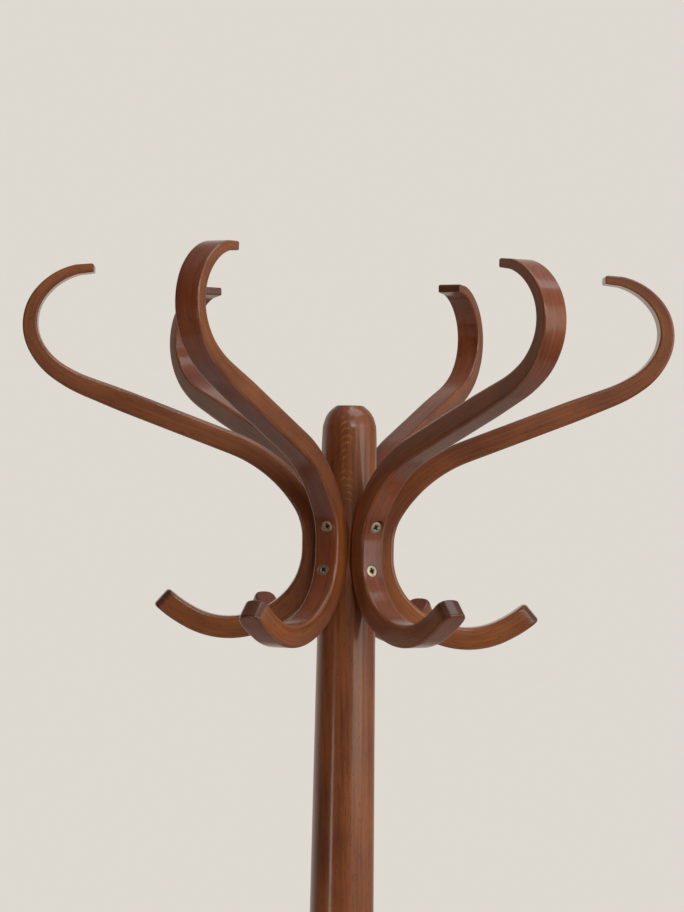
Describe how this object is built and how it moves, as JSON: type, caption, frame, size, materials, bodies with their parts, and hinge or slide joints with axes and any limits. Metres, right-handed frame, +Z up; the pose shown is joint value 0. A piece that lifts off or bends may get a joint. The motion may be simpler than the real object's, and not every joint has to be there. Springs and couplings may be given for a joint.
{
  "type": "standing coat rack",
  "caption": "Bentwood standing coat rack: turned pole with a crown of S-shaped hooks, splayed bent legs and an umbrella hoop.",
  "frame": {"origin": "on the floor, on the pole's axis", "axes": "+Z up along the pole; +X towards hook_1 and leg_1"},
  "size_m": [0.5612, 0.5612, 1.8703],
  "materials": {
    "stained_beech": "walnut-stained bent beech under satin varnish",
    "screw_brass": "pale brass-plated, slightly tarnished",
    "felt": "dense dark felt"
  },
  "bodies": {
    "root": {"pole": "stained_beech", "umbrella_hoop": "stained_beech", "hook_1": "stained_beech", "hook_1_screw_upper": "screw_brass", "hook_1_screw_lower": "screw_brass", "hook_2": "stained_beech", "hook_2_screw_upper": "screw_brass", "hook_2_screw_lower": "screw_brass", "hook_3": "stained_beech", "hook_3_screw_upper": "screw_brass", "hook_3_screw_lower": "screw_brass", "hook_4": "stained_beech", "hook_4_screw_upper": "screw_brass", "hook_4_screw_lower": "screw_brass", "hook_5": "stained_beech", "hook_5_screw_upper": "screw_brass", "hook_5_screw_lower": "screw_brass", "hook_6": "stained_beech", "hook_6_screw_upper": "screw_brass", "hook_6_screw_lower": "screw_brass", "leg_1": "stained_beech", "leg_1_screw_upper": "screw_brass", "leg_1_screw_lower": "screw_brass", "leg_1_screw_hoop": "screw_brass", "foot_pad_1": "felt", "leg_2": "stained_beech", "leg_2_screw_upper": "screw_brass", "leg_2_screw_lower": "screw_brass", "leg_2_screw_hoop": "screw_brass", "foot_pad_2": "felt", "leg_3": "stained_beech", "leg_3_screw_upper": "screw_brass", "leg_3_screw_lower": "screw_brass", "leg_3_screw_hoop": "screw_brass", "foot_pad_3": "felt", "leg_4": "stained_beech", "leg_4_screw_upper": "screw_brass", "leg_4_screw_lower": "screw_brass", "leg_4_screw_hoop": "screw_brass", "foot_pad_4": "felt"}
  },
  "joints": []
}
